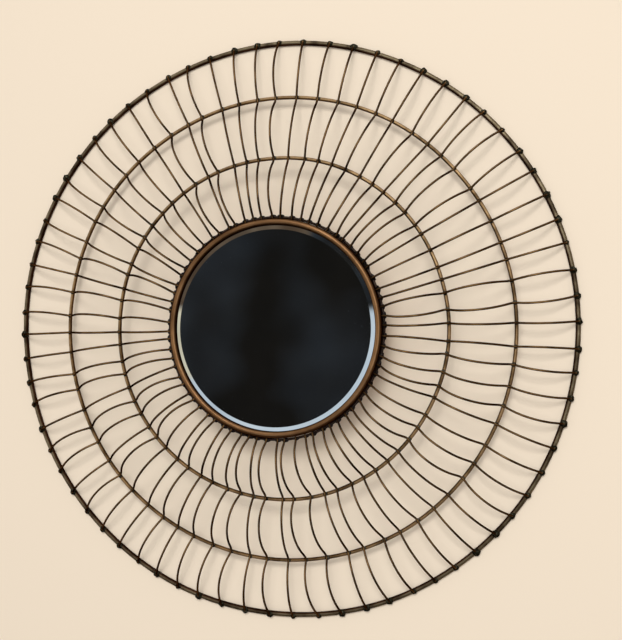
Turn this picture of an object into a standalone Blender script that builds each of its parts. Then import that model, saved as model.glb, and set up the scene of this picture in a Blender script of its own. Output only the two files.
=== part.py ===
"""Wire sunburst wall mirror: a round bevelled glass in a brass bezel, carried by seventy-two
scalloped wires on four concentric rod rings, hung on a wall nail by the outermost ring.

Units are metres. The world origin is the point on the wall under the nail: +X is to the right,
+Y goes into the wall and +Z is up. The pieces are modelled about the mirror's own axis, whose
local +Z comes forward out of the wall and whose local +Y is up.
"""

import math
import random

import bmesh
import bpy

# Rods and wire
OUTER_ROD_D = 0.0060
SECOND_ROD_D = 0.0045
THIRD_ROD_D = 0.0045
INNER_ROD_D = 0.0030
WIRE_D = 0.0026

# Rings: radius of the centre line, and how far it stands forward of the outer ring
OUTER_RADIUS = 0.3460
SECOND_RADIUS = 0.2773
THIRD_RADIUS = 0.2022
SECOND_FORWARD = 0.0165
THIRD_FORWARD = 0.0375

# Radial wires: count, place of the first, rise of each tier's arch over its chord
WIRE_COUNT = 72
FIRST_WIRE_DEG = 1.33
OUTER_RISE = 0.0165
MIDDLE_RISE = 0.0220
INNER_RISE = 0.0215
FOOT_LENGTH = 0.0040
HOOK_DEG = (-10.0, 40.0, 90.0)

# Hand bending: the arches lean clockwise, each ring is met a little further round, and all of it scatters
TWIST_DEG = -0.10
LEAN_DEG = -5.0
SCATTER_SEED = 11
SPACING_SCATTER_DEG = 0.30
RING_SCATTER_DEG = 0.55
LEAN_SCATTER_DEG = 9.0
RISE_SCATTER = 0.10

# Bevelled glass
GLASS_D = 0.2540
GLASS_THICKNESS = 0.0040
GLASS_BEVEL_WIDTH = 0.0160
GLASS_BEVEL_DEPTH = 0.0022
GLASS_EDGE_CLEARANCE = 0.0005

# Bezel: spun sheet with a half-round front lip
BEZEL_FRONT = 0.0633
BEZEL_DEPTH = 0.0200
BEZEL_SHEET = 0.0010
LIP_WIDTH = 0.0090
INNER_RING_SETBACK = 0.0085

# Backing and the bent tabs that hold it
CARD_THICKNESS = 0.0010
BOARD_THICKNESS = 0.0030
TAB_COUNT = 4
TAB_FIRST_DEG = 45.0
TAB_WIDTH = 0.0100
TAB_SHEET = 0.0008
TAB_REACH = 0.0120
TAB_LEG = 0.0045

# Fits
SEAT_GAP = 0.0003
BRAZE_SINK = 0.0005

# Facets
ROD_SIDES = 6
OUTER_STEPS = 60
SECOND_STEPS = 48
THIRD_STEPS = 48
ROUND_STEPS = 48
ARCH_STEP_DEG = 33.0
LIP_STEPS = 4
MERGE = 0.00001

# Sizes that follow from the ones above
WIRE_R = WIRE_D / 2
LIP_RADIUS = LIP_WIDTH / 2
WALL_INNER_R = GLASS_D / 2 + GLASS_EDGE_CLEARANCE
BEZEL_R = WALL_INNER_R + BEZEL_SHEET
LIP_BASE = BEZEL_FRONT - LIP_RADIUS
LIP_EDGE_R = BEZEL_R - LIP_WIDTH
BEZEL_REAR = BEZEL_FRONT - BEZEL_DEPTH
INNER_RADIUS = BEZEL_R + SEAT_GAP + INNER_ROD_D / 2
INNER_FORWARD = BEZEL_FRONT - INNER_RING_SETBACK
WALL_FLAT = WALL_INNER_R * math.cos(math.pi / ROUND_STEPS)
BACKING_R = GLASS_D / 2


def rod_flat(rod_d):
    """Distance from a rod's centre line to one of its flats."""
    return rod_d / 2 * math.cos(math.pi / ROD_SIDES)


# Name, radius, forward place, rod and facets of each ring, from the wall to the bezel
RINGS = (
    ("outer_ring", OUTER_RADIUS, 0.0, OUTER_ROD_D, OUTER_STEPS),
    ("second_ring", SECOND_RADIUS, SECOND_FORWARD, SECOND_ROD_D, SECOND_STEPS),
    ("third_ring", THIRD_RADIUS, THIRD_FORWARD, THIRD_ROD_D, THIRD_STEPS),
    ("inner_ring", INNER_RADIUS, INNER_FORWARD, INNER_ROD_D, ROUND_STEPS),
)
TIER_RISES = (OUTER_RISE, MIDDLE_RISE, INNER_RISE)


def clear_scene():
    for obj in list(bpy.data.objects):
        bpy.data.objects.remove(obj, do_unlink=True)


def make_collection(name):
    collection = bpy.data.collections.new(name)
    bpy.context.scene.collection.children.link(collection)
    return collection


def make_material(name, colour, roughness, metallic):
    material = bpy.data.materials.new(name)
    material.use_nodes = True
    shader = material.node_tree.nodes["Principled BSDF"]
    shader.inputs["Base Color"].default_value = (*colour, 1.0)
    shader.inputs["Roughness"].default_value = roughness
    shader.inputs["Metallic"].default_value = metallic
    return material


def place(obj, collection, axis, material):
    """Put an object into its collection, on the mirror's axis, with its material."""
    for old in list(obj.users_collection):
        old.objects.unlink(obj)
    collection.objects.link(obj)
    obj.parent = axis
    obj.data.materials.clear()
    obj.data.materials.append(material)
    return obj


def smooth(mesh):
    mesh.shade_smooth()
    mesh.set_sharp_from_angle(angle=math.radians(40.0))


def make_axis():
    """The mirror's axis: local +Z forward, set so that the nail bears on the top of the outer ring."""
    axis = bpy.data.objects.new("mirror_axis", None)
    bpy.context.scene.collection.objects.link(axis)
    axis.rotation_euler = (math.radians(90.0), 0.0, 0.0)
    axis.location = (0.0, -rod_flat(OUTER_ROD_D), -(OUTER_RADIUS - OUTER_ROD_D / 2))
    return axis


def make_ring(name, radius, forward, rod_d, steps):
    bpy.ops.mesh.primitive_torus_add(
        major_radius=radius, minor_radius=rod_d / 2,
        major_segments=steps, minor_segments=ROD_SIDES,
    )
    ring = bpy.context.active_object
    ring.name = name
    ring.data.name = name
    ring.location = (0.0, 0.0, forward)
    smooth(ring.data)
    return ring


def arch(start, end, rise):
    """Points strictly between two seats on a circular arch: (radius, forward, height over the chord)."""
    run = end[0] - start[0]
    climb = end[1] - start[1]
    chord = math.hypot(run, climb)
    bow = (chord * chord / 4 + rise * rise) / (2 * rise)
    half_turn = math.atan2(chord / 2, bow - rise)
    steps = math.ceil(math.degrees(2 * half_turn) / ARCH_STEP_DEG)
    points = []
    for step in range(1, steps):
        turn = half_turn * (2 * step / steps - 1)
        along = 0.5 + bow * math.sin(turn) / chord
        height = bow * math.cos(turn) - (bow - rise)
        points.append((start[0] + run * along, start[1] + climb * along, height))
    return points


def wire_profile(carrier):
    """Side view of one wire, hook to inner end: (radius, forward, arch height, ring it is nearest).

    A wire seats on the front of every ring with a gap, and sinks into its carrier, if it has one.
    """
    def over(ring):
        return -BRAZE_SINK if ring == carrier else SEAT_GAP

    hook_bend = math.radians((HOOK_DEG[1] - HOOK_DEG[0]) / 2)
    hook_r = (OUTER_ROD_D / 2 + over(0) + WIRE_R) / math.cos(hook_bend)
    profile = []
    for angle in HOOK_DEG:
        turn = math.radians(angle)
        profile.append((OUTER_RADIUS + hook_r * math.cos(turn), hook_r * math.sin(turn), 0.0, 0))

    for tier, rise in enumerate(TIER_RISES):
        inner = tier + 1
        _, radius, forward, rod_d, _ = RINGS[inner]
        seat = forward + rod_flat(rod_d) + over(inner) + WIRE_R
        start = profile[-1][:2]
        last = inner == len(RINGS) - 1
        end = (radius + (rod_d if last else 0.0), seat)
        share = 1.0 / (end[0] - start[0])
        for r, z, height in arch(start, end, rise):
            profile.append((r, z, height, tier + (r - start[0]) * share))
        profile.append((*end, 0.0, inner))
        foot_r = BEZEL_R + SEAT_GAP if last else radius - FOOT_LENGTH
        profile.append((foot_r, seat, 0.0, inner))
    return profile


def scatter_rows():
    """For each wire: its angle at the four rings, the sideways lean of its arches and their height."""
    chance = random.Random(SCATTER_SEED)
    rows = []
    for number in range(WIRE_COUNT):
        angle = FIRST_WIRE_DEG + 360.0 * number / WIRE_COUNT
        angle += SPACING_SCATTER_DEG * chance.uniform(-1.0, 1.0)
        angles = [angle]
        for _ in RINGS[1:]:
            angle += TWIST_DEG + RING_SCATTER_DEG * chance.uniform(-1.0, 1.0)
            angles.append(angle)
        lean = LEAN_DEG + LEAN_SCATTER_DEG * chance.uniform(-1.0, 1.0)
        tall = 1.0 + RISE_SCATTER * chance.uniform(-1.0, 1.0)
        rows.append((angles, lean, tall))
    return rows


def wire_points(profile, angles, lean_deg, tall):
    """Turn the side view of a wire into points about the mirror's axis."""
    lean = math.radians(lean_deg)
    points = []
    for radius, forward, height, ring in profile:
        low = min(int(ring), len(angles) - 2)
        angle = math.radians(angles[low] + (angles[low + 1] - angles[low]) * (ring - low))
        side = height * tall * math.sin(lean)
        x = radius * math.cos(angle) - side * math.sin(angle)
        y = radius * math.sin(angle) + side * math.cos(angle)
        points.append((x, y, forward + height * tall * math.cos(lean)))
    return points


def make_wire(name, points):
    curve = bpy.data.curves.new(name, "CURVE")
    curve.dimensions = "3D"
    curve.twist_mode = "Z_UP"
    curve.bevel_depth = WIRE_R
    curve.bevel_resolution = 0
    curve.use_fill_caps = True
    spline = curve.splines.new("POLY")
    spline.points.add(len(points) - 1)
    for point, place_xyz in zip(spline.points, points):
        point.co = (*place_xyz, 1.0)
    return bpy.data.objects.new(name, curve)


def mesh_from_curve(obj, collection):
    """A closed mesh object in place of a curve object."""
    bpy.context.view_layer.update()
    evaluated = obj.evaluated_get(bpy.context.evaluated_depsgraph_get())
    mesh = bpy.data.meshes.new_from_object(evaluated)
    work = bmesh.new()
    work.from_mesh(mesh)
    bmesh.ops.remove_doubles(work, verts=work.verts, dist=MERGE)
    bmesh.ops.recalc_face_normals(work, faces=work.faces)
    work.to_mesh(mesh)
    work.free()
    solid = bpy.data.objects.new(obj.name, mesh)
    collection.objects.link(solid)
    solid.matrix_world = obj.matrix_world
    curve = obj.data
    bpy.data.objects.remove(obj, do_unlink=True)
    bpy.data.curves.remove(curve)
    return solid


def braze(ring, wire, axis):
    """Fuse a wire to the ring that carries it."""
    wire.parent = axis
    wire.hide_render = True
    wire.display_type = "WIRE"
    union = ring.modifiers.new(wire.name, "BOOLEAN")
    union.operation = "UNION"
    union.object = wire


def carrier_of(number):
    """Every third wire is fused to a ring, each ring in its turn; the others are pieces of their own."""
    if number % 3:
        return None
    return number // 3 % len(RINGS)


def spin(name, profile, closed):
    """A solid turned about the axis from (radius, forward) points that run down its outer side."""
    mesh = bpy.data.meshes.new(name)
    edges = [(i, i + 1) for i in range(len(profile) - 1)]
    if closed:
        edges.append((len(profile) - 1, 0))
    mesh.from_pydata([(r, 0.0, z) for r, z in profile], edges, [])
    obj = bpy.data.objects.new(name, mesh)
    screw = obj.modifiers.new("spin", "SCREW")
    screw.axis = "Z"
    screw.angle = 2 * math.pi
    screw.steps = ROUND_STEPS
    screw.render_steps = ROUND_STEPS
    screw.use_merge_vertices = True
    screw.merge_threshold = MERGE
    screw.use_smooth_shade = True
    return obj


def make_bezel():
    centre_r = BEZEL_R - LIP_RADIUS
    hollow = LIP_RADIUS - BEZEL_SHEET
    inward = [math.pi * step / LIP_STEPS for step in range(LIP_STEPS + 1)]
    profile = []
    for turn in reversed(inward):
        profile.append((centre_r + LIP_RADIUS * math.cos(turn), LIP_BASE + LIP_RADIUS * math.sin(turn)))
    profile.append((BEZEL_R, BEZEL_REAR))
    profile.append((WALL_INNER_R, BEZEL_REAR))
    for turn in inward:
        profile.append((centre_r + hollow * math.cos(turn), LIP_BASE + hollow * math.sin(turn)))
    return spin("bezel", profile, closed=True)


def bevel_drop(radius):
    """How far the bevel has fallen below the glass's flat field at a radius."""
    past = radius - (GLASS_D / 2 - GLASS_BEVEL_WIDTH)
    return max(0.0, past) * GLASS_BEVEL_DEPTH / GLASS_BEVEL_WIDTH


GLASS_FRONT = LIP_BASE - SEAT_GAP + bevel_drop(LIP_EDGE_R)
GLASS_REAR = GLASS_FRONT - GLASS_THICKNESS
CARD_REAR = GLASS_REAR - SEAT_GAP - CARD_THICKNESS
BOARD_REAR = CARD_REAR - SEAT_GAP - BOARD_THICKNESS
TAB_FRONT = BOARD_REAR - SEAT_GAP


def make_glass():
    edge_r = GLASS_D / 2
    profile = [
        (0.0, GLASS_FRONT),
        (edge_r - GLASS_BEVEL_WIDTH, GLASS_FRONT),
        (edge_r, GLASS_FRONT - GLASS_BEVEL_DEPTH),
        (edge_r, GLASS_REAR),
        (0.0, GLASS_REAR),
    ]
    return spin("mirror_glass", profile, closed=False)


def make_disc(name, rear, thickness):
    bpy.ops.mesh.primitive_cylinder_add(
        vertices=ROUND_STEPS, radius=BACKING_R, depth=thickness, location=(0.0, 0.0, rear + thickness / 2),
    )
    disc = bpy.context.active_object
    disc.name = name
    disc.data.name = name
    smooth(disc.data)
    return disc


def make_tab(number):
    """A bent strip: one leg against the bezel's wall, the other over the board's back."""
    wall = math.sqrt((WALL_FLAT - SEAT_GAP) ** 2 - (TAB_WIDTH / 2) ** 2)
    foot_rear = TAB_FRONT - TAB_SHEET
    outline = [
        (wall - TAB_REACH, TAB_FRONT),
        (wall - TAB_REACH, foot_rear),
        (wall - TAB_SHEET, foot_rear),
        (wall - TAB_SHEET, TAB_FRONT - TAB_LEG),
        (wall, TAB_FRONT - TAB_LEG),
        (wall, TAB_FRONT),
    ]
    name = f"retaining_tab_{number + 1}"
    curve = bpy.data.curves.new(name, "CURVE")
    curve.dimensions = "2D"
    curve.fill_mode = "BOTH"
    curve.extrude = TAB_WIDTH / 2
    spline = curve.splines.new("POLY")
    spline.points.add(len(outline) - 1)
    spline.use_cyclic_u = True
    for point, (r, z) in zip(spline.points, outline):
        point.co = (r, z, 0.0, 1.0)
    tab = bpy.data.objects.new(name, curve)
    turn = math.radians(TAB_FIRST_DEG) + 2 * math.pi * number / TAB_COUNT
    tab.rotation_mode = "XYZ"
    tab.rotation_euler = (math.radians(90.0), 0.0, turn)
    return tab


def main():
    clear_scene()
    parts = make_collection("wire_sunburst_mirror")
    cutters = make_collection("fused_wires")
    axis = make_axis()

    rod_copper = make_material("rod_copper", (0.21, 0.11, 0.045), 0.42, 1.0)
    wire_copper = make_material("wire_copper", (0.13, 0.07, 0.03), 0.45, 1.0)
    bezel_brass = make_material("bezel_brass", (0.30, 0.14, 0.06), 0.35, 1.0)
    silvered_glass = make_material("silvered_glass", (0.80, 0.83, 0.84), 0.03, 1.0)
    grey_card = make_material("grey_card", (0.35, 0.33, 0.30), 0.90, 0.0)
    hardboard = make_material("hardboard", (0.16, 0.08, 0.04), 0.85, 0.0)
    tab_brass = make_material("tab_brass", (0.36, 0.22, 0.09), 0.40, 1.0)

    rings = []
    for row in RINGS:
        rings.append(place(make_ring(*row), parts, axis, rod_copper))

    profiles = {carrier: wire_profile(carrier) for carrier in (None, *range(len(RINGS)))}
    for number, row in enumerate(scatter_rows()):
        carrier = carrier_of(number)
        wire = make_wire(f"wire_{number + 1:02d}", wire_points(profiles[carrier], *row))
        if carrier is None:
            place(wire, parts, axis, wire_copper)
        else:
            cutters.objects.link(wire)
            braze(rings[carrier], mesh_from_curve(wire, cutters), axis)

    place(make_bezel(), parts, axis, bezel_brass)
    place(make_glass(), parts, axis, silvered_glass)
    place(make_disc("backing_card", CARD_REAR, CARD_THICKNESS), parts, axis, grey_card)
    place(make_disc("back_board", BOARD_REAR, BOARD_THICKNESS), parts, axis, hardboard)
    for number in range(TAB_COUNT):
        place(make_tab(number), parts, axis, tab_brass)


main()
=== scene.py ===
# %% [markdown]
# # A wire sunburst wall mirror
#
# A small round mirror sits in the middle of a field of brass wires. Seventy-two wires run outward like
# rays, each in three low arches, over rod rings that step down to the wall. The whole thing hangs by its
# outermost ring.
#
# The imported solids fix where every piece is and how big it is. This lesson gives them their looks: round
# stock in place of the solids' few flats, soft bends, brazed joints, and the finish of brass that has aged
# on a wall for years.

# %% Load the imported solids
import math
import random

import bmesh
import bpy
from mathutils import Matrix, Vector, noise


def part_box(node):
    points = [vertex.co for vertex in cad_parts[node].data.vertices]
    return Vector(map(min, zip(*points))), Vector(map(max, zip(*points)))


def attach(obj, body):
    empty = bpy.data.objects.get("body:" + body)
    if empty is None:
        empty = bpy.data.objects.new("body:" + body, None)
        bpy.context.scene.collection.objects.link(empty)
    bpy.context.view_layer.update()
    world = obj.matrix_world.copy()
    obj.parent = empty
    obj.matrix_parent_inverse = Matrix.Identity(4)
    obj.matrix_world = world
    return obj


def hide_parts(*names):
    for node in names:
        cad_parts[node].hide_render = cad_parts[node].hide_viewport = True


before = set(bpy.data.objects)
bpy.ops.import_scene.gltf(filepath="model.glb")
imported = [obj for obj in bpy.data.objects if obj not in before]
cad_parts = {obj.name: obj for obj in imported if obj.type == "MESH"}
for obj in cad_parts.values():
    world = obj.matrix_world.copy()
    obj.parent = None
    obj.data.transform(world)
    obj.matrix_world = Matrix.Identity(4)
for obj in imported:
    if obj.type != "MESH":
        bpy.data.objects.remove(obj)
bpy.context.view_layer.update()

# %% [markdown]
# ## The mirror's own axis
#
# Nearly every piece is turned about one axis through the middle of the glass, or stands round it like a
# spoke. So pieces are modelled about a local axis, +Z out of the wall and +Y up, and one matrix puts them
# all in place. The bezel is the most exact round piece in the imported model, so the axis is read from its
# box.

# %% Read the axis from the bezel
BEZEL_FRONT = 0.0633  # how far the bezel's front stands forward of the outer ring's centre line

bezel_low, bezel_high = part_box("bezel")
bezel_middle = (bezel_low + bezel_high) / 2
bezel_r = (bezel_high.x - bezel_low.x) / 2
bezel_rear = BEZEL_FRONT - (bezel_high.y - bezel_low.y)
axis_place = Vector((bezel_middle.x, bezel_low.y + BEZEL_FRONT, bezel_middle.z))
mirror_axis = Matrix.Translation(axis_place) @ Matrix.Rotation(math.radians(90), 4, "X")
print("axis at", [round(v, 4) for v in axis_place], "bezel radius", round(bezel_r, 4))

# %% [markdown]
# ## The camera
#
# The photograph was taken from the right of the mirror, at the height of its middle, so the round rings
# look a little narrow and the forward ones slide to the left. A camera is fixed by where it stands, what it
# looks at and how long its lens is. All three were found by matching the outlines of the rings.

# %% Set up the camera
CAMERA_RIGHT = 0.4105
CAMERA_AWAY = 1.5019
CAMERA_DROP = 0.0082
AIM_RIGHT = 0.0298
AIM_UP = 0.0102
PHOTO_HEIGHT = 640
FOCAL_PIXELS = 1283.6
FILM_SIDE = 36.0  # millimetres, along the frame's long side

camera_data = bpy.data.cameras.new("camera")
camera_data.sensor_width = FILM_SIDE
camera_data.lens = FOCAL_PIXELS / PHOTO_HEIGHT * FILM_SIDE
camera = bpy.data.objects.new("camera", camera_data)
camera.location = axis_place + Vector((CAMERA_RIGHT, -CAMERA_AWAY, -CAMERA_DROP))
aim = axis_place + Vector((AIM_RIGHT, 0.0, AIM_UP))
camera.rotation_euler = (aim - camera.location).to_track_quat("-Z", "Y").to_euler()
bpy.context.scene.collection.objects.link(camera)
bpy.context.scene.camera = camera
bpy.context.scene.view_settings.view_transform = "Standard"
print("lens", round(camera_data.lens, 1), "mm, camera", round((aim - camera.location).length, 3), "m away")

# %% [markdown]
# ## Two small helpers for finishes
#
# Colours are easiest to pick as sRGB hex values, but a shader works in linear light, so one function
# converts them. A finish is a small tree of nodes, and one function adds any node with its settings, its
# constant values and its links.

# %% Colours and nodes
def linear(hex_code):
    """An sRGB hex colour as linear red, green, blue and alpha."""
    channels = []
    for start in (1, 3, 5):
        value = int(hex_code[start:start + 2], 16) / 255
        channels.append(value / 12.92 if value <= 0.04045 else ((value + 0.055) / 1.055) ** 2.4)
    return (*channels, 1.0)


def add_node(tree, kind, values=None, **settings):
    """Add a node. Settings are its own properties; values fill its inputs with constants or links."""
    made = tree.nodes.new(kind)
    for name, value in settings.items():
        setattr(made, name, value)
    for name, value in (values or {}).items():
        if isinstance(value, bpy.types.NodeSocket):
            tree.links.new(value, made.inputs[name])
        else:
            made.inputs[name].default_value = value
    return made


def new_finish(name):
    """An empty material and its node tree."""
    material = bpy.data.materials.new(name)
    material.use_nodes = True
    material.node_tree.nodes.clear()
    return material, material.node_tree


MIX_FACTOR, MIX_A, MIX_B, MIX_RESULT = 0, 6, 7, 2  # places of a colour Mix node's sockets
print("umber in linear light:", [round(v, 3) for v in linear("#3a2413")])

# %% [markdown]
# ## The wall and the light
#
# The mirror belongs on a wall, so the backdrop is a plain cream wall just behind the outer ring. It is
# painted on its front only: seen from behind it isn't there, so the back of the mirror can be looked at too.
#
# A pale surround lights everything a little. A soft lamp above and in front puts a faint shadow of each wire
# a little below it, and a much broader one, nearly straight in front, lights the wall between the wires,
# where the surround hardly reaches.

# %% Build the wall
WALL_SIDE = 9.0
WALL_CLEARANCE = 0.0006
WALL_CREAM = "#f1e1cb"

wall_paint, tree = new_finish("matt_cream_wall_paint")
paint = add_node(tree, "ShaderNodeBsdfDiffuse", {"Color": linear(WALL_CREAM)})
see_through = add_node(tree, "ShaderNodeBsdfTransparent")
side = add_node(tree, "ShaderNodeNewGeometry")
one_sided = add_node(tree, "ShaderNodeMixShader",
                     {0: side.outputs["Backfacing"], 1: paint.outputs[0], 2: see_through.outputs[0]})
add_node(tree, "ShaderNodeOutputMaterial", {"Surface": one_sided.outputs[0]})

wall_mesh = bpy.data.meshes.new("wall")
half = WALL_SIDE / 2
wall_corners = [(-half, 0, -half), (half, 0, -half), (half, 0, half), (-half, 0, half)]
wall_mesh.from_pydata(wall_corners, [], [(0, 1, 2, 3)])
wall = bpy.data.objects.new("wall", wall_mesh)
wall.location = (0.0, WALL_CLEARANCE, axis_place.z)
wall_mesh.materials.append(wall_paint)
bpy.context.scene.collection.objects.link(wall)
print("wall stands", WALL_CLEARANCE * 1000, "mm behind the outer ring")

# %% Fill in with a pale surround
SURROUND = "#e9edf2"  # what the camera and the reflections see
FILL_TINT = "#efecea"  # what lights the wall
SURROUND_FILL = 0.42

world = bpy.data.worlds.new("pale_surround")
bpy.context.scene.world = world
world.use_nodes = True
tree = world.node_tree
tree.nodes.clear()
path = add_node(tree, "ShaderNodeLightPath")
seen = add_node(tree, "ShaderNodeMath",
                {0: path.outputs["Is Camera Ray"], 1: path.outputs["Is Glossy Ray"]})
shown = add_node(tree, "ShaderNodeMath",
                 {0: seen.outputs[0], 1: path.outputs["Is Transmission Ray"]}, use_clamp=True)
level = add_node(tree, "ShaderNodeMapRange",
                 {"Value": shown.outputs[0], "To Min": SURROUND_FILL, "To Max": 1.0})
tint = add_node(tree, "ShaderNodeMix",
                {MIX_FACTOR: shown.outputs[0], MIX_A: linear(FILL_TINT), MIX_B: linear(SURROUND)},
                data_type="RGBA")
surround = add_node(tree, "ShaderNodeBackground",
                    {"Color": tint.outputs[MIX_RESULT], "Strength": level.outputs[0]})
add_node(tree, "ShaderNodeOutputWorld", {"Surface": surround.outputs[0]})
print("surround fills at", SURROUND_FILL)

# %% Hang the lamps
LAMP_AWAY = 4.0


def hang_lamp(name, up_deg, right_deg, across, watts, shines=True):
    """A round lamp aimed at the mirror's middle. One that doesn't shine isn't seen in reflections."""
    lamp_data = bpy.data.lights.new(name, "AREA")
    lamp_data.shape = "DISK"
    lamp_data.size = across
    lamp_data.energy = watts
    lamp = bpy.data.objects.new(name, lamp_data)
    rise, swing = math.radians(up_deg), math.radians(right_deg)
    level_part = math.cos(rise)
    toward = Vector((math.sin(swing) * level_part, -math.cos(swing) * level_part, math.sin(rise)))
    lamp.location = axis_place + LAMP_AWAY * toward
    lamp.rotation_euler = (-toward).to_track_quat("-Z", "Y").to_euler()
    lamp.visible_glossy = shines
    bpy.context.scene.collection.objects.link(lamp)
    print(name, "hangs at", [round(v, 2) for v in lamp.location])


hang_lamp("soft_lamp", up_deg=21.0, right_deg=8.0, across=1.1, watts=50.0)
hang_lamp("broad_lamp", up_deg=8.0, right_deg=6.0, across=3.0, watts=70.0, shines=False)

# %% [markdown]
# ## What the metal and the glass have to show
#
# A mirror and a polished rod show whatever stands where their reflected rays go. In a bare white surround
# they would be white all over, so a few plain cards stand out of view, as in a studio, and are shown to
# reflections alone. Seen from the right, the flat field of the glass looks into a narrow cone on the left,
# and a dark felt there makes it read as dark glass. The ground bevel is tilted and looks some sixteen
# degrees further out: a brown card above tones its upper left, a dusky one its upper right, a warm one at
# the left lights its left end, and the rest of it shows the pale surround. A brown floor and a brown side
# card give the rods and the lip a dark underside and a dark right side.
#
# A card's edge would draw a hard line in the bevel, so each card thins out to nothing over a soft margin.

# %% Stand the cards
FELT_AWAY = 2.50
CARD_STEP = 0.02  # cards that overlap stand this far behind one another
FLOOR_DROP = 1.20
SIDE_CARD_RIGHT = 2.20
HAZE_SIZE = 0.45
HAZE_LEVELS = (0.42, 0.75)  # values of the noise where the haze starts and is full
SOFT_MARGIN = 0.12


def faded(tree, place, low, high, margin):
    """One inside a span, falling smoothly to nothing over a margin at both of its ends."""
    rising = add_node(tree, "ShaderNodeMapRange",
                      {"Value": place, "From Min": low, "From Max": low + margin},
                      interpolation_type="SMOOTHSTEP")
    falling = add_node(tree, "ShaderNodeMapRange",
                       {"Value": place, "From Min": high, "From Max": high - margin},
                       interpolation_type="SMOOTHSTEP")
    both = add_node(tree, "ShaderNodeMath", {0: rising.outputs[0], 1: falling.outputs[0]},
                    operation="MULTIPLY")
    return both.outputs[0]


def stand_card(name, shade, haze, across, up, placed, turn=(0.0, 0.0, 0.0)):
    """A card that only reflections see: its span across and up, where it stands and how it is turned."""
    finish, tree = new_finish(name + "_felt")
    where = add_node(tree, "ShaderNodeTexCoord")
    place = add_node(tree, "ShaderNodeSeparateXYZ", {0: where.outputs["Object"]})
    cloud = add_node(tree, "ShaderNodeTexNoise",
                     {"Vector": where.outputs["Object"], "Scale": 1 / HAZE_SIZE, "Detail": 2.0})
    tone = add_node(tree, "ShaderNodeMapRange",
                    {"Value": cloud.outputs[0], "From Min": HAZE_LEVELS[0], "From Max": HAZE_LEVELS[1]})
    colour = add_node(tree, "ShaderNodeMix",
                      {MIX_FACTOR: tone.outputs[0], MIX_A: linear(shade), MIX_B: linear(haze)},
                      data_type="RGBA")
    felt = add_node(tree, "ShaderNodeEmission", {"Color": colour.outputs[MIX_RESULT]})
    sides = faded(tree, place.outputs[0], *across, SOFT_MARGIN)
    ends = faded(tree, place.outputs[2], *up, SOFT_MARGIN)
    cover = add_node(tree, "ShaderNodeMath", {0: sides, 1: ends}, operation="MULTIPLY")
    gone = add_node(tree, "ShaderNodeBsdfTransparent")
    card_face = add_node(tree, "ShaderNodeMixShader",
                         {0: cover.outputs[0], 1: gone.outputs[0], 2: felt.outputs[0]})
    add_node(tree, "ShaderNodeOutputMaterial", {"Surface": card_face.outputs[0]})

    mesh = bpy.data.meshes.new(name)
    corners = [(across[0], up[0]), (across[1], up[0]), (across[1], up[1]), (across[0], up[1])]
    mesh.from_pydata([(x, 0.0, z) for x, z in corners], [], [(0, 1, 2, 3)])
    mesh.materials.append(finish)
    card = bpy.data.objects.new(name, mesh)
    card.location = axis_place + Vector(placed)
    card.rotation_euler = turn
    card.visible_camera = False
    card.visible_diffuse = False
    card.visible_shadow = False
    bpy.context.scene.collection.objects.link(card)


quarter = math.pi / 2
stand_card("dark_card", "#1d1a17", "#3c3f44", across=(-1.22, -0.22), up=(-0.52, 0.55),
           placed=(0.0, -FELT_AWAY, 0.0))
stand_card("brown_card", "#5e4a3a", "#8d7863", across=(-2.10, 0.95), up=(0.18, 1.70),
           placed=(0.0, -FELT_AWAY - CARD_STEP, 0.0))
stand_card("dusk_card", "#1d1a17", "#3c3f44", across=(-0.40, 1.60), up=(0.14, 1.70),
           placed=(0.0, -FELT_AWAY + CARD_STEP, 0.0))
stand_card("warm_card", "#f2e0c0", "#fff1d6", across=(-2.30, -1.05), up=(-0.60, 0.34),
           placed=(0.0, -FELT_AWAY - 2 * CARD_STEP, 0.0))
stand_card("floor_card", "#2a1c12", "#4a3626", across=(-2.60, 2.60), up=(0.0, 2.40),
           placed=(0.0, 0.0, -FLOOR_DROP), turn=(quarter, 0.0, 0.0))
stand_card("side_card", "#2a1c12", "#4a3626", across=(0.0, 2.30), up=(-1.40, 1.40),
           placed=(SIDE_CARD_RIGHT, 0.0, 0.0), turn=(0.0, 0.0, -quarter))
print("stood six cards for the reflections")

# %% [markdown]
# ## Aged brass: the rods and the wires
#
# Drawn brass rod and wire leave the mill bright, and decades of handling and dust turn them umber. The pale
# tan line down the middle of every rod, between dark sides, is a painted highlight: it stands for the light
# from the front on a round rod. It is painted where the object's own normal points forward, so it stays put
# whichever way the object is seen. On the rings the painted highlight leans outward, a painted reflection of
# the pale wall. Patches of deeper tarnish, some centimetres long, break it up, and a fine grain dulls the
# shine.
#
# Rods and wires are the same metal, so one function makes both finishes from their own colours.

# %% Make the aged brass
TARNISH_PATCH = 0.022
TARNISH_GRAIN = 0.0016  # really a fifth of this; drawn this coarse so that it shows in the render
GRAIN_DEPTH = 0.00006
HIGHLIGHT_LEAN_DEG = 32.0  # how far outward the painted highlight on a ring leans, a painted reflection of the pale wall
TARNISH_LEVELS = (0.36, 0.66)  # values of the noise where umber ends and bronze is full
# values of the tarnish noise where the painted highlight is weakest and where it is full
SHEEN_LEVELS = (0.34, 0.60)
GRAIN_LEVELS = (0.30, 0.70)
LEAST_SHEEN = 0.25
LEAST_GRAIN = 0.75
OFF_HIGHLIGHT_ROUGHNESS = 0.58


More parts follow.
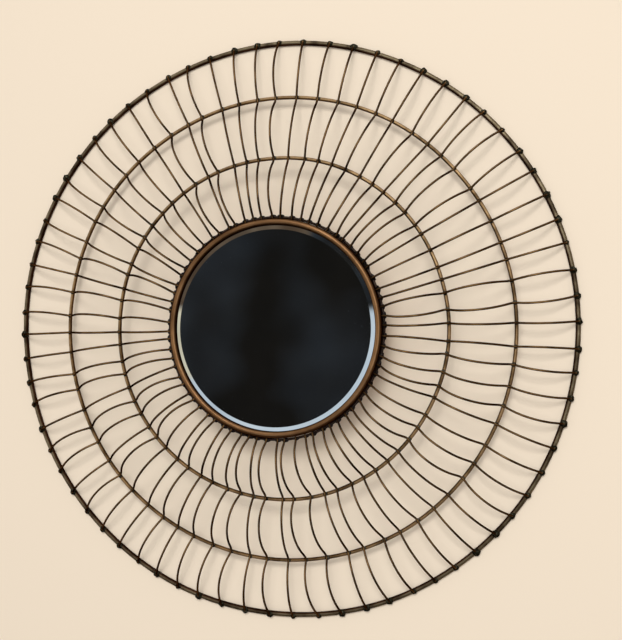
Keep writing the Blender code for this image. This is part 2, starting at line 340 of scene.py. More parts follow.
def aged_brass(name, umber, bronze, highlight_colour, highlight_from, edge, smooth_to, lean_deg=0.0):
    """Tarnished metal with a painted highlight where it faces forward, or forward and outward by the lean."""
    material, tree = new_finish(name)
    where = add_node(tree, "ShaderNodeTexCoord")
    patch = add_node(tree, "ShaderNodeTexNoise",
                     {"Vector": where.outputs["Object"], "Scale": 1 / TARNISH_PATCH, "Detail": 3.0})
    grain = add_node(tree, "ShaderNodeTexNoise",
                     {"Vector": where.outputs["Object"], "Scale": 1 / TARNISH_GRAIN, "Detail": 2.0})
    lean = math.radians(lean_deg)
    across = add_node(tree, "ShaderNodeVectorMath", {0: where.outputs["Object"], 1: (1.0, 1.0, 0.0)},
                      operation="MULTIPLY")
    outward = add_node(tree, "ShaderNodeVectorMath", {0: across.outputs[0]}, operation="NORMALIZE")
    lit_side = add_node(tree, "ShaderNodeVectorMath",
                      {0: outward.outputs[0], 1: (math.sin(lean),) * 3, 2: (0.0, 0.0, math.cos(lean))},
                      operation="MULTIPLY_ADD")
    facing = add_node(tree, "ShaderNodeVectorMath", {0: lit_side.outputs[0], 1: where.outputs["Normal"]},
                      operation="DOT_PRODUCT")
    # painted highlight: lighter where the normal faces forward, on the rings forward and outward
    front_highlight = add_node(tree, "ShaderNodeMapRange",
                   {"Value": facing.outputs["Value"], "From Min": highlight_from, "From Max": 1.0},
                   interpolation_type="SMOOTHSTEP")
    deep = add_node(tree, "ShaderNodeMapRange",
                    {"Value": patch.outputs[0], "From Min": TARNISH_LEVELS[0], "From Max": TARNISH_LEVELS[1]})
    sheen_and_wear = add_node(tree, "ShaderNodeMapRange",
                    {"Value": patch.outputs[0], "From Min": SHEEN_LEVELS[0], "From Max": SHEEN_LEVELS[1],
                     "To Min": LEAST_SHEEN, "To Max": 1.0})
    speck = add_node(tree, "ShaderNodeMapRange",
                     {"Value": grain.outputs[0], "From Min": GRAIN_LEVELS[0], "From Max": GRAIN_LEVELS[1],
                      "To Min": LEAST_GRAIN, "To Max": 1.0})
    patchy_highlight = add_node(tree, "ShaderNodeMath", {0: front_highlight.outputs[0], 1: sheen_and_wear.outputs[0]},
                           operation="MULTIPLY")
    bright = add_node(tree, "ShaderNodeMath", {0: patchy_highlight.outputs[0], 1: speck.outputs[0]},
                      operation="MULTIPLY")
    body = add_node(tree, "ShaderNodeMix",
                    {MIX_FACTOR: deep.outputs[0], MIX_A: linear(umber), MIX_B: linear(bronze)},
                    data_type="RGBA")
    colour = add_node(tree, "ShaderNodeMix",
                      {MIX_FACTOR: bright.outputs[0], MIX_A: body.outputs[MIX_RESULT], MIX_B: linear(highlight_colour)},
                      data_type="RGBA")
    dull = add_node(tree, "ShaderNodeMapRange",
                    {"Value": bright.outputs[0], "To Min": OFF_HIGHLIGHT_ROUGHNESS, "To Max": smooth_to})
    pits = add_node(tree, "ShaderNodeBump", {"Height": grain.outputs[0], "Distance": GRAIN_DEPTH})
    metal = add_node(tree, "ShaderNodeBsdfPrincipled", {
        "Base Color": colour.outputs[MIX_RESULT], "Metallic": 1.0, "Roughness": dull.outputs[0],
        "Specular Tint": linear(edge), "Normal": pits.outputs[0],
    })
    add_node(tree, "ShaderNodeOutputMaterial", {"Surface": metal.outputs[0]})
    return material


# the last colour of each is its painted highlight; the outer ring's grey-green one is also a painted
# reflection of the pale wall
outer_brass = aged_brass("drawn_brass_rod_umber", "#2c190e", "#4e3321", "#94866a", highlight_from=0.36,
                         edge="#3a2818", smooth_to=0.40, lean_deg=HIGHLIGHT_LEAN_DEG)
rod_brass = aged_brass("drawn_brass_rod_tan_highlight", "#46301a", "#775633", "#c2a074", highlight_from=0.38,
                       edge="#4a3420", smooth_to=0.36, lean_deg=HIGHLIGHT_LEAN_DEG)
# the inner ring, against the bezel's wall, is near black, and so is its braze
black_brass = aged_brass("drawn_brass_rod_near_black", "#120b07", "#271a12", "#54443c", highlight_from=0.60,
                         edge="#2a2019", smooth_to=0.42)
wire_brass = aged_brass("drawn_brass_wire_tarnished", "#2c190c", "#513720", "#90704a", highlight_from=0.46,
                        edge="#3c2a1c", smooth_to=0.40)
ring_finish = {
    "outer_ring": outer_brass,
    "second_ring": rod_brass,
    "third_ring": rod_brass,
    "inner_ring": black_brass,
}
print("finishes:", [finish.name for finish in (outer_brass, rod_brass, black_brass, wire_brass)])

# %% [markdown]
# ## Round rods from a path
#
# A rod or wire is a circle carried along a path. A curve with a bevel depth would draw it, but its end caps
# stay loose, and here every piece should be one closed mesh. So a short sweep carries a ring of points from
# one end to the other without letting it twist, and nips the ends a little smaller, as cut wire is.

# %% Sweep a rod along a path
SHARP_DEG = 40.0
NIPPED_END = 0.72


def close_mesh(work, name, sharp_deg=SHARP_DEG):
    """Turn a working mesh into an object's mesh with its faces outward and smooth shading."""
    bmesh.ops.recalc_face_normals(work, faces=work.faces)
    mesh = bpy.data.meshes.new(name)
    work.to_mesh(mesh)
    work.free()
    mesh.shade_smooth()
    mesh.set_sharp_from_angle(angle=math.radians(sharp_deg))
    return mesh


def rod_along(name, points, rod_r, sides, closed=False):
    """A round rod along a path, carried from point to point without twisting."""
    count = len(points)
    work = bmesh.new()
    across = None
    rings = []
    for number, point in enumerate(points):
        ahead = points[(number + 1) % count] if closed or number + 1 < count else point
        behind = points[number - 1] if closed or number else point
        along = (ahead - behind).normalized()
        across = across or along.orthogonal()
        across = (across - along * across.dot(along)).normalized()
        up = along.cross(across)
        at_end = not closed and number in (0, count - 1)
        size = rod_r * NIPPED_END if at_end else rod_r
        ring = []
        for corner in range(sides):
            turn = 2 * math.pi * corner / sides
            ring.append(work.verts.new(point + size * (math.cos(turn) * across + math.sin(turn) * up)))
        rings.append(ring)
    pairs = list(zip(rings, rings[1:]))
    if closed:
        pairs.append((rings[-1], rings[0]))
    else:
        work.faces.new(rings[0])
        work.faces.new(rings[-1])
    for low, high in pairs:
        for corner in range(sides):
            following = (corner + 1) % sides
            work.faces.new((low[corner], low[following], high[following], high[corner]))
    return close_mesh(work, name)


def dress(name, mesh, finish, slot, *nodes):
    """Put a piece on the mirror's axis with its finish, riding on the one body, in place of its nodes."""
    piece = bpy.data.objects.new(name, mesh)
    bpy.context.scene.collection.objects.link(piece)
    piece.matrix_world = mirror_axis
    mesh.materials.append(finish)
    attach(piece, "root")
    if nodes:
        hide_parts(*nodes)
    return piece

# %% [markdown]
# ## The four rod rings
#
# Each ring is one length of rod rolled into a hoop. Hand-rolled hoops are never quite true: they wander in
# and out by a few tenths of a millimetre. A torus primitive would be too perfect, so the hoop's path gets
# two slow waves of its own before the rod is swept along it.

# %% Roll the rings
WIRE_D = 0.0026
INNER_RING_OFF = 0.0018  # from the bezel's wall to the inner ring's centre line
RINGS = (  # name, radius of the centre line, place forward of the outer ring, rod diameter
    ("outer_ring", 0.3460, 0.0000, 0.0060),
    ("second_ring", 0.2773, 0.0165, 0.0045),
    ("third_ring", 0.2022, 0.0375, 0.0045),
    ("inner_ring", bezel_r + INNER_RING_OFF, 0.0548, 0.0030),
)
HOOP_STEPS = 180
HOOP_SIDES = 14
HOOP_WANDER = 0.0003


def hoop_path(radius, forward, phase):
    points = []
    for step in range(HOOP_STEPS):
        turn = 2 * math.pi * step / HOOP_STEPS
        r = radius + HOOP_WANDER * (math.sin(5 * turn + phase) + 0.6 * math.sin(9 * turn - 2 * phase))
        points.append(Vector((r * math.cos(turn), r * math.sin(turn), forward)))
    return points


for number, (node, radius, forward, rod_d) in enumerate(RINGS):
    hoop = rod_along(node + "_hoop", hoop_path(radius, forward, number), rod_d / 2, HOOP_SIDES, closed=True)
    dress(node + "_hoop", hoop, ring_finish[node], "rod", node)
print("rolled", len(RINGS), "rings")

# %% [markdown]
# ## Seventy-two scalloped wires
#
# A wire hooks round the outer ring, then climbs and falls in three arches, and sits on the front of each
# ring with a short flat foot. One side view serves them all: circular arcs between the seats. It is worked
# out in (radius, forward) and then each corner is relaxed, because wire bent over a former has no sharp
# corners.
#
# What makes the field look hand-made is scatter. Each wire has its own angle at every ring, its own
# sideways lean and its own height, drawn from one seeded sequence in the same order as in the solids, so
# every wire lies where its solid does.

# %% Draw the side view of a wire
TIER_RISES = (0.0165, 0.0220, 0.0215)
FOOT_LENGTH = 0.0040
HOOK_FROM_DEG = 60.0  # the hook goes on round the ring, but the braze hides it from here on
HOOK_STEPS = 7
ARCH_POINTS = 16
RELAX_PASSES = 3
WIRE_R = WIRE_D / 2


def arch(start, end, rise):
    """Points between two seats on a circular arch: (radius, forward, height over the chord)."""
    run = end[0] - start[0]
    climb = end[1] - start[1]
    chord = math.hypot(run, climb)
    bow = (chord * chord / 4 + rise * rise) / (2 * rise)
    half_turn = math.atan2(chord / 2, bow - rise)
    points = []
    for step in range(1, ARCH_POINTS):
        turn = half_turn * (2 * step / ARCH_POINTS - 1)
        along = 0.5 + bow * math.sin(turn) / chord
        height = bow * math.cos(turn) - (bow - rise)
        points.append((start[0] + run * along, start[1] + climb * along, height))
    return points


def relaxed(rows):
    """Round the corners: each point moves halfway to the middle of its neighbours, a few times over."""
    for _ in range(RELAX_PASSES):
        inner = []
        for before, here, after in zip(rows, rows[1:], rows[2:]):
            inner.append(tuple((a + 2 * b + c) / 4 for a, b, c in zip(before, here, after)))
        rows = [rows[0], *inner, rows[-1]]
    return rows


def wire_side_view():
    """Hook to bezel: (radius, forward, arch height, ring it is nearest, counted from the wall)."""
    _, outer_r, _, outer_d = RINGS[0]
    hook_r = outer_d / 2 + WIRE_R
    rows = []
    for step in range(HOOK_STEPS + 1):
        turn = math.radians(HOOK_FROM_DEG + (90 - HOOK_FROM_DEG) * step / HOOK_STEPS)
        rows.append((outer_r + hook_r * math.cos(turn), hook_r * math.sin(turn), 0.0, 0.0))
    for tier, rise in enumerate(TIER_RISES):
        _, radius, forward, rod_d = RINGS[tier + 1]
        seat = forward + rod_d / 2 + WIRE_R
        start = rows[-1][:2]
        last = tier + 1 == len(RINGS) - 1
        end = (radius + (rod_d if last else 0.0), seat)
        for r, z, height in arch(start, end, rise):
            rows.append((r, z, height, tier + (r - start[0]) / (end[0] - start[0])))
        rows.append((*end, 0.0, tier + 1.0))
        foot = bezel_r if last else radius - FOOT_LENGTH
        rows.append(((end[0] + foot) / 2, seat, 0.0, tier + 1.0))
        rows.append((foot, seat, 0.0, tier + 1.0))
    return relaxed(rows)


side_view = wire_side_view()
print("a wire has", len(side_view), "points; its crest stands",
      round(1000 * max(z + height for _, z, height, _ in side_view), 1), "mm forward")

# %% Scatter and sweep the wires
WIRE_COUNT = 72
FIRST_WIRE_DEG = 1.33
TWIST_DEG = -0.10
LEAN_DEG = -5.0
SCATTER_SEED = 11
SPACING_SCATTER_DEG = 0.30
RING_SCATTER_DEG = 0.55
LEAN_SCATTER_DEG = 9.0
RISE_SCATTER = 0.10
WIRE_SIDES = 10


def scatter_rows():
    """For each wire: its angle at the four rings, the sideways lean of its arches and their height."""
    chance = random.Random(SCATTER_SEED)
    rows = []
    for number in range(WIRE_COUNT):
        angle = FIRST_WIRE_DEG + 360.0 * number / WIRE_COUNT
        angle += SPACING_SCATTER_DEG * chance.uniform(-1.0, 1.0)
        angles = [angle]
        for _ in RINGS[1:]:
            angle += TWIST_DEG + RING_SCATTER_DEG * chance.uniform(-1.0, 1.0)
            angles.append(angle)
        lean = LEAN_DEG + LEAN_SCATTER_DEG * chance.uniform(-1.0, 1.0)
        tall = 1.0 + RISE_SCATTER * chance.uniform(-1.0, 1.0)
        rows.append((angles, lean, tall))
    return rows


def wire_path(angles, lean_deg, tall):
    """Stand the side view up round the axis at a wire's own angles, lean and height."""
    lean = math.radians(lean_deg)
    points = []
    for radius, forward, height, ring in side_view:
        low = min(int(ring), len(angles) - 2)
        angle = math.radians(angles[low] + (angles[low + 1] - angles[low]) * (ring - low))
        out = Vector((math.cos(angle), math.sin(angle), 0.0))
        round_axis = Vector((-out.y, out.x, 0.0))
        sideways = height * tall * math.sin(lean)
        forward_to = forward + height * tall * math.cos(lean)
        points.append(radius * out + sideways * round_axis + Vector((0.0, 0.0, forward_to)))
    return points


wire_rows = scatter_rows()
for number, row in enumerate(wire_rows):
    name = f"ray_wire_{number + 1:02d}"
    node = f"wire_{number + 1:02d}"
    stands_for = [node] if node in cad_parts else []
    dress(name, rod_along(name, wire_path(*row), WIRE_R, WIRE_SIDES), wire_brass, "wire", *stands_for)
print("swept", len(wire_rows), "wires")

# %% [markdown]
# ## Braze at every crossing
#
# Where a wire crosses a ring the two are brazed: a little molten metal ran into the corner and froze in a
# lump, greyer than the brass and pitted. A smooth ball would look like a bead, so each lump is a flattened
# ball whose surface is pushed in and out by a noise, a little different every time. The lumps on one ring
# are joined in one piece.

# %% Mix the braze metal
BRAZE_SPOT = 0.0022
BRAZE_PIT = 0.0002
BRAZE_LEVELS = (0.38, 0.66)
BRAZE_ROUGHNESS = (0.62, 0.38)


def braze(name, hollows, swells, edge):
    """Frozen braze: dull spots in two colours, pitted where it shrank."""
    material, tree = new_finish(name)
    where = add_node(tree, "ShaderNodeTexCoord")
    spots = add_node(tree, "ShaderNodeTexNoise",
                     {"Vector": where.outputs["Object"], "Scale": 1 / BRAZE_SPOT, "Detail": 3.0})
    share = add_node(tree, "ShaderNodeMapRange",
                     {"Value": spots.outputs[0], "From Min": BRAZE_LEVELS[0], "From Max": BRAZE_LEVELS[1]})
    skin = add_node(tree, "ShaderNodeMix",
                    {MIX_FACTOR: share.outputs[0], MIX_A: linear(hollows), MIX_B: linear(swells)},
                    data_type="RGBA")
    dull = add_node(tree, "ShaderNodeMapRange",
                    {"Value": spots.outputs[0], "To Min": BRAZE_ROUGHNESS[0], "To Max": BRAZE_ROUGHNESS[1]})
    pitted = add_node(tree, "ShaderNodeBump", {"Height": spots.outputs[0], "Distance": BRAZE_PIT})
    metal = add_node(tree, "ShaderNodeBsdfPrincipled", {
        "Base Color": skin.outputs[MIX_RESULT], "Metallic": 1.0, "Roughness": dull.outputs[0],
        "Specular Tint": linear(edge), "Normal": pitted.outputs[0],
    })
    add_node(tree, "ShaderNodeOutputMaterial", {"Surface": metal.outputs[0]})
    return material


grey_braze = braze("cast_braze_grey_green", "#2e281f", "#79715f", "#4a4438")
hook_braze = braze("cast_braze_dark_green", "#1b1912", "#4d4a3b", "#35332a")
dark_braze = braze("cast_braze_near_black", "#15100d", "#4b4340", "#2a2522")
ring_braze = {
    "outer_ring": hook_braze,
    "second_ring": grey_braze,
    "third_ring": grey_braze,
    "inner_ring": dark_braze,
}
print("finishes:", [mix.name for mix in ring_braze.values()])

# %% Drop a lump at every crossing
CROSSING_LUMP = (0.0024, 0.0027, 0.0021)  # half sizes: outward, along the ring, forward
CROSSING_SEAT = 0.42  # of the rod's diameter, forward of its centre line
HOOK_LUMP = (0.0040, 0.0043, 0.0034)  # wraps the outer ring and hides the end of the hook
HOOK_LUMP_OUT = 0.0010
HOOK_LUMP_FORWARD = 0.0016
BEZEL_LUMP = (0.0024, 0.0042, 0.0025)  # long runs of braze between the inner ring and the bezel's wall
BEZEL_LUMP_OUT = 0.0009
LUMP_SIZES = (0.82, 1.16)
LUMP_UNEVEN = 0.28
LUMP_DENTS = 1.7  # waves of the noise over a lump
LUMP_SHIFT = 40.0  # how far apart in the noise two lumps may be read
LUMP_SEED = 5


def braze_on(ring, chance):
    """All the lumps on one ring, between the ring's front and the wires that cross it."""
    _, radius, forward, rod_d = RINGS[ring]
    seat = (radius, forward + rod_d * CROSSING_SEAT)
    half_sizes = CROSSING_LUMP
    if ring == 0:
        seat = (radius + HOOK_LUMP_OUT, forward + HOOK_LUMP_FORWARD)
        half_sizes = HOOK_LUMP
    elif ring == len(RINGS) - 1:
        seat = (radius + BEZEL_LUMP_OUT, forward)
        half_sizes = BEZEL_LUMP
    work = bmesh.new()
    for angles, _, _ in wire_rows:
        angle = math.radians(angles[ring])
        out = Vector((math.cos(angle), math.sin(angle), 0.0))
        round_axis = Vector((-out.y, out.x, 0.0))
        up = Vector((0.0, 0.0, 1.0))
        size = chance.uniform(*LUMP_SIZES)
        middle = seat[0] * out + seat[1] * up
        axes = [size * half * way for half, way in zip(half_sizes, (out, round_axis, up))]
        shift = LUMP_SHIFT * chance.random()
        lump = bmesh.ops.create_icosphere(work, subdivisions=2, radius=1.0)["verts"]
        for vert in lump:
            ball = vert.co.copy()
            ball *= 1.0 + LUMP_UNEVEN * noise.noise(LUMP_DENTS * ball + Vector((shift, 0.0, 0.0)))
            vert.co = middle + ball.x * axes[0] + ball.y * axes[1] + ball.z * axes[2]
    return close_mesh(work, "braze")


lump_chance = random.Random(LUMP_SEED)
for ring, row in enumerate(RINGS):
    dress("braze_on_" + row[0], braze_on(ring, lump_chance), ring_braze[row[0]], "rod")
print("brazed", len(RINGS) * WIRE_COUNT, "crossings")

# %% [markdown]
# ## The bezel
#
# The bezel is a band of thin brass sheet, spun on a lathe over a former: its wall runs back round the glass
# and its front edge is rolled into a half-round lip. A turned piece is an outline and a spin, so the outline
# is drawn once, with the sheet's thickness and its rounded edges, and spun in fine steps.

# %% Spin an outline about the axis
TURN_STEPS = 168
MERGE = 0.000002


def turned(name, outline, sharp_deg=SHARP_DEG):
    """Spin (radius, forward) points about the axis; an outline that doesn't end on the axis is closed."""
    work = bmesh.new()
    verts = [work.verts.new((r, 0.0, z)) for r, z in outline]
    ends_on_axis = outline[0][0] == 0 and outline[-1][0] == 0
    loop = verts if ends_on_axis else [*verts, verts[0]]
    edges = [work.edges.new(pair) for pair in zip(loop, loop[1:])]
    bmesh.ops.spin(work, geom=verts + edges, cent=(0.0, 0.0, 0.0), axis=(0.0, 0.0, 1.0), angle=2 * math.pi,
                   steps=TURN_STEPS, use_merge=True)
    bmesh.ops.remove_doubles(work, verts=work.verts, dist=MERGE)
    return close_mesh(work, name, sharp_deg)


def round_edge(centre, radius, from_deg, to_deg, steps):
    """Points on an arc about a centre, both ends included."""
    points = []
    for step in range(steps + 1):
        turn = math.radians(from_deg + (to_deg - from_deg) * step / steps)
        points.append((centre[0] + radius * math.cos(turn), centre[1] + radius * math.sin(turn)))
    return points


# %% [markdown]
# Spun brass shows fine rings from the tool that pressed it, and this one was lacquered copper-brown. A warm
# painted highlight lies on the front of the lip, where it faces forward, and painted shade makes the sides
# and the corners nearly black; patches of thinner lacquer make the highlight uneven.
# The rings come from a noise that is read by radius and depth alone, so that it doesn't change round the lip.

# %% Make the spun brass
SPIN_LINE = 0.0009
BEZEL_PATCH = 0.035
SPIN_RIDGE = 0.00002
LIP_HIGHLIGHT = (0.30, 0.98)  # how far forward the lip faces where the painted highlight starts and is full
LACQUER_LEVELS = (0.35, 0.65)
LEAST_LIP_SHEEN = 0.45
LEAST_STREAK = 0.80
LIP_ROUGHNESS = (0.50, 0.30)

bezel_brass, tree = new_finish("spun_brass_copper_lacquer")
where = add_node(tree, "ShaderNodeTexCoord")
place = add_node(tree, "ShaderNodeSeparateXYZ", {0: where.outputs["Object"]})
flat_place = add_node(tree, "ShaderNodeCombineXYZ", {0: place.outputs[0], 1: place.outputs[1]})
from_axis = add_node(tree, "ShaderNodeVectorMath", {0: flat_place.outputs[0]}, operation="LENGTH")
turned_place = add_node(tree, "ShaderNodeCombineXYZ", {0: from_axis.outputs["Value"], 1: place.outputs[2]})
lines = add_node(tree, "ShaderNodeTexNoise",
                 {"Vector": turned_place.outputs[0], "Scale": 1 / SPIN_LINE, "Detail": 2.0})
patch = add_node(tree, "ShaderNodeTexNoise",
                 {"Vector": where.outputs["Object"], "Scale": 1 / BEZEL_PATCH, "Detail": 4.0})
facing = add_node(tree, "ShaderNodeSeparateXYZ", {0: where.outputs["Normal"]})
front_highlight = add_node(tree, "ShaderNodeMapRange",
               {"Value": facing.outputs[2], "From Min": LIP_HIGHLIGHT[0], "From Max": LIP_HIGHLIGHT[1]},
               interpolation_type="SMOOTHSTEP")
thin = add_node(tree, "ShaderNodeMapRange",
                {"Value": patch.outputs[0], "From Min": LACQUER_LEVELS[0], "From Max": LACQUER_LEVELS[1],
                 "To Min": LEAST_LIP_SHEEN, "To Max": 1.0})
sheen_and_wear = add_node(tree, "ShaderNodeMath", {0: front_highlight.outputs[0], 1: thin.outputs[0]}, operation="MULTIPLY")
streak = add_node(tree, "ShaderNodeMapRange",
                  {"Value": lines.outputs[0], "From Min": GRAIN_LEVELS[0], "From Max": GRAIN_LEVELS[1],
                   "To Min": LEAST_STREAK, "To Max": 1.0})
bright = add_node(tree, "ShaderNodeMath", {0: sheen_and_wear.outputs[0], 1: streak.outputs[0]}, operation="MULTIPLY")
# painted shade, near black, where the sheet faces away from the front; painted highlight where it faces
# forward
colour = add_node(tree, "ShaderNodeMix",
                  {MIX_FACTOR: bright.outputs[0], MIX_A: linear("#33190b"), MIX_B: linear("#a97e55")},
                  data_type="RGBA")
dull = add_node(tree, "ShaderNodeMapRange",
                {"Value": bright.outputs[0], "To Min": LIP_ROUGHNESS[0], "To Max": LIP_ROUGHNESS[1]})
ridges = add_node(tree, "ShaderNodeBump", {"Height": lines.outputs[0], "Distance": SPIN_RIDGE})
metal = add_node(tree, "ShaderNodeBsdfPrincipled", {
    "Base Color": colour.outputs[MIX_RESULT], "Metallic": 1.0, "Roughness": dull.outputs[0],
    "Specular Tint": linear("#5a3a22"), "Normal": ridges.outputs[0],
})
add_node(tree, "ShaderNodeOutputMaterial", {"Surface": metal.outputs[0]})
print("finish:", bezel_brass.name)

# %% Spin the bezel
BEZEL_SHEET = 0.0010
LIP_WIDTH = 0.0078
LIP_REVEAL = 0.0002  # the straight bit between the half round and its inner edge, clear of the glass
LIP_STEPS = 20
EDGE_STEPS = 4

lip_r = LIP_WIDTH / 2
lip_middle = (bezel_r - lip_r, BEZEL_FRONT - lip_r)
sheet_half = BEZEL_SHEET / 2
rear_edge = (bezel_r - sheet_half, bezel_rear + sheet_half)
front_edge = (lip_middle[0] - lip_r + sheet_half, lip_middle[1] - LIP_REVEAL)
bezel_outline = [
    *round_edge(lip_middle, lip_r, 180, 0, LIP_STEPS),
    *round_edge(rear_edge, sheet_half, 0, -180, EDGE_STEPS),
    *round_edge(lip_middle, lip_r - BEZEL_SHEET, 0, 180, LIP_STEPS),
    *round_edge(front_edge, sheet_half, 360, 180, EDGE_STEPS)[1:-1],
]
dress("spun_bezel", turned("spun_bezel", bezel_outline), bezel_brass, "bezel", "bezel")
print("bezel outline has", len(bezel_outline), "points")

# %% [markdown]
# ## The glass
#
# Mirror glass is float glass, silvered and painted on its back. Nothing of its thickness shows behind the
# lip, so the silvered face is drawn as the front: a metal with almost no roughness. Its rim is ground to a
# wide shallow bevel, which reflects other parts of the surround than the flat field does. The edge between
# the two is kept sharp, because a softened one would smear the reflection there.

# %% Silver the glass
HAZE_PATCH = 0.060
SILVER_LEVELS = (0.35, 0.70)
SILVER_ROUGHNESS = (0.015, 0.050)

silvered_glass, tree = new_finish("silvered_float_glass")
where = add_node(tree, "ShaderNodeTexCoord")
haze = add_node(tree, "ShaderNodeTexNoise",
                {"Vector": where.outputs["Object"], "Scale": 1 / HAZE_PATCH, "Detail": 5.0})
tint = add_node(tree, "ShaderNodeMapRange",
                {"Value": haze.outputs[0], "From Min": SILVER_LEVELS[0], "From Max": SILVER_LEVELS[1]})
silver = add_node(tree, "ShaderNodeMix",
                  {MIX_FACTOR: tint.outputs[0], MIX_A: linear("#d3dde2"), MIX_B: linear("#bfcbd2")},
                  data_type="RGBA")
film = add_node(tree, "ShaderNodeMapRange",
                {"Value": haze.outputs[0], "To Min": SILVER_ROUGHNESS[0], "To Max": SILVER_ROUGHNESS[1]})
metal = add_node(tree, "ShaderNodeBsdfPrincipled", {
    "Base Color": silver.outputs[MIX_RESULT], "Metallic": 1.0, "Roughness": film.outputs[0],
})
add_node(tree, "ShaderNodeOutputMaterial", {"Surface": metal.outputs[0]})
print("finish:", silvered_glass.name)

# %% Grind the glass
GLASS_BEVEL_WIDTH = 0.0112
GLASS_BEVEL_DEPTH = 0.0016
BEVEL_SHARP_DEG = 4.0

glass_low, glass_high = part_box("mirror_glass")
glass_r = (glass_high.x - glass_low.x) / 2
glass_front = axis_place.y - glass_low.y
glass_rear = axis_place.y - glass_high.y
glass_outline = [
    (0.0, glass_front),
    (glass_r - GLASS_BEVEL_WIDTH, glass_front),
    (glass_r, glass_front - GLASS_BEVEL_DEPTH),
    (glass_r, glass_rear),
    (0.0, glass_rear),
]
glass_mesh = turned("bevelled_glass", glass_outline, BEVEL_SHARP_DEG)
dress("bevelled_glass", glass_mesh, silvered_glass, "mirror", "mirror_glass")
print("glass", round(2000 * glass_r), "mm across, bevel at",
      round(math.degrees(math.atan2(GLASS_BEVEL_DEPTH, GLASS_BEVEL_WIDTH)), 1), "degrees")

# %% [markdown]
# ## The back
#
# Behind the glass lie a thin grey card that keeps the silvering from being scratched and a disc of
# hardboard. Four bent brass tabs hold them in. Hardboard is pressed wood fibre: brown, smooth, with short
# darker fibres in it. The card is grey pulp. Both are discs with a slightly rounded edge.

# %% Make the board and the card
FIBRE_LENGTH = 0.006
FIBRE_WIDTH = 0.0009
PULP_GRAIN = 0.0025
FIBRE_LEVELS = (0.35, 0.65)
FIBRE_ROUGHER = 0.1
BOARD_EDGE_R = 0.0008
CARD_EDGE_R = 0.0003


def fibre_board(name, dark, light, size, roughness, depth):
    """Pressed fibre: streaks of a given length and width in two close colours."""
    material, tree = new_finish(name)
    where = add_node(tree, "ShaderNodeTexCoord")
    laid = add_node(tree, "ShaderNodeMapping",
                    {"Vector": where.outputs["Object"], "Scale": (1 / size[0], 1 / size[1], 1 / size[1])})
    fibre = add_node(tree, "ShaderNodeTexNoise", {"Vector": laid.outputs[0], "Scale": 1.0, "Detail": 4.0})
    share = add_node(tree, "ShaderNodeMapRange",
                     {"Value": fibre.outputs[0], "From Min": FIBRE_LEVELS[0], "From Max": FIBRE_LEVELS[1]})
    colour = add_node(tree, "ShaderNodeMix",
                      {MIX_FACTOR: share.outputs[0], MIX_A: linear(dark), MIX_B: linear(light)},
                      data_type="RGBA")
    rough = add_node(tree, "ShaderNodeMapRange",
                     {"Value": fibre.outputs[0], "To Min": roughness - FIBRE_ROUGHER,
                      "To Max": roughness + FIBRE_ROUGHER})
    raised = add_node(tree, "ShaderNodeBump", {"Height": fibre.outputs[0], "Distance": depth})
    board = add_node(tree, "ShaderNodeBsdfPrincipled", {
        "Base Color": colour.outputs[MIX_RESULT], "Roughness": rough.outputs[0],
        "Normal": raised.outputs[0],
    })
    add_node(tree, "ShaderNodeOutputMaterial", {"Surface": board.outputs[0]})
    return material


def disc_between(name, node, edge_r):
    """A disc with rounded edges that fills a node's box."""
    low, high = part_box(node)
    disc_r = (high.x - low.x) / 2
    front = axis_place.y - low.y
    rear = axis_place.y - high.y
    outline = [
        (0.0, front),
        *round_edge((disc_r - edge_r, front - edge_r), edge_r, 90, 0, EDGE_STEPS),
        *round_edge((disc_r - edge_r, rear + edge_r), edge_r, 0, -90, EDGE_STEPS),
        (0.0, rear),
    ]
    return turned(name, outline)


hardboard = fibre_board("pressed_hardboard", "#94683f", "#bd8f60", (FIBRE_LENGTH, FIBRE_WIDTH),
                        roughness=0.70, depth=0.0001)
grey_card = fibre_board("grey_pulp_card", "#8d8a83", "#a9a69e", (PULP_GRAIN, PULP_GRAIN),
                        roughness=0.85, depth=0.00005)
back_disc = disc_between("hardboard_back", "back_board", BOARD_EDGE_R)
card_disc = disc_between("silvering_card", "backing_card", CARD_EDGE_R)
dress("hardboard_back", back_disc, hardboard, "board", "back_board")
dress("silvering_card", card_disc, grey_card, "card", "backing_card")
print("backed with", hardboard.name, "and", grey_card.name)

# %% Bend the tabs
TAB_COUNT = 4
TAB_FIRST_DEG = 45.0
TAB_WIDTH = 0.0100
TAB_SHEET = 0.0008
TAB_BEND_R = 0.0012
TAB_TIP_R = 0.0025
TAB_BEND_STEPS = 6
TAB_TIP_STEPS = 5
TAB_LEG = 0.0045
TAB_REACH = 0.0120
TAB_OFF_BOARD = 0.0003
TAB_OFF_WALL = 0.0006
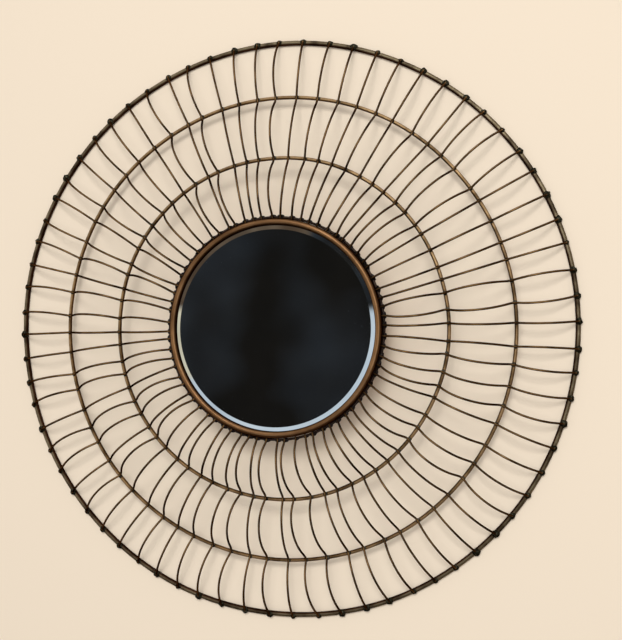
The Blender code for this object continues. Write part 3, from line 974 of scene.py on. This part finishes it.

# the third colour is the painted highlight where the strip faces forward, as on the rods
tab_brass = aged_brass("cut_brass_strip", "#8a6a3a", "#a88650", "#b8975c", highlight_from=0.2,
                       edge="#8a6c40", smooth_to=0.34)
board_low, board_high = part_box("back_board")
tab_front = axis_place.y - board_high.y - TAB_OFF_BOARD
tab_wall = math.sqrt((bezel_r - BEZEL_SHEET - TAB_OFF_WALL) ** 2 - (TAB_WIDTH / 2) ** 2)


def tab_mesh(name):
    """A strip along +X: one leg back along the bezel's wall, a round bend, one leg over the board."""
    bend = (tab_wall - TAB_SHEET - TAB_BEND_R, tab_front - TAB_SHEET - TAB_BEND_R)
    outer_r = TAB_BEND_R + TAB_SHEET
    leg_end = tab_front - TAB_LEG
    tip = tab_wall - TAB_REACH
    outside = [(tab_wall, leg_end), *round_edge(bend, outer_r, 0, 90, TAB_BEND_STEPS), (tip, tab_front)]
    inside = [(tab_wall - TAB_SHEET, leg_end), *round_edge(bend, TAB_BEND_R, 0, 90, TAB_BEND_STEPS),
              (tip, tab_front - TAB_SHEET)]
    work = bmesh.new()
    sides = []
    for across in (-TAB_WIDTH / 2, TAB_WIDTH / 2):
        sides.append([work.verts.new((r, across, z)) for r, z in [*outside, *reversed(inside)]])
    near, far = sides
    work.faces.new(near)
    work.faces.new(far)
    for corner in range(len(near)):
        following = (corner + 1) % len(near)
        work.faces.new((near[corner], near[following], far[following], far[corner]))
    tip_corners = [edge for edge in work.edges
                   if all(abs(vert.co.x - tip) < MERGE for vert in edge.verts)
                   and abs(edge.verts[0].co.y - edge.verts[1].co.y) < MERGE]
    bmesh.ops.bevel(work, geom=tip_corners, offset=TAB_TIP_R, segments=TAB_TIP_STEPS, profile=0.5,
                    affect="EDGES")
    return close_mesh(work, name)


for number in range(TAB_COUNT):
    name = f"bent_tab_{number + 1}"
    mesh = tab_mesh(name)
    turn = math.radians(TAB_FIRST_DEG) + 2 * math.pi * number / TAB_COUNT
    mesh.transform(Matrix.Rotation(turn, 4, "Z"))
    dress(name, mesh, tab_brass, "tab", f"retaining_tab_{number + 1}")
print("bent", TAB_COUNT, "tabs")
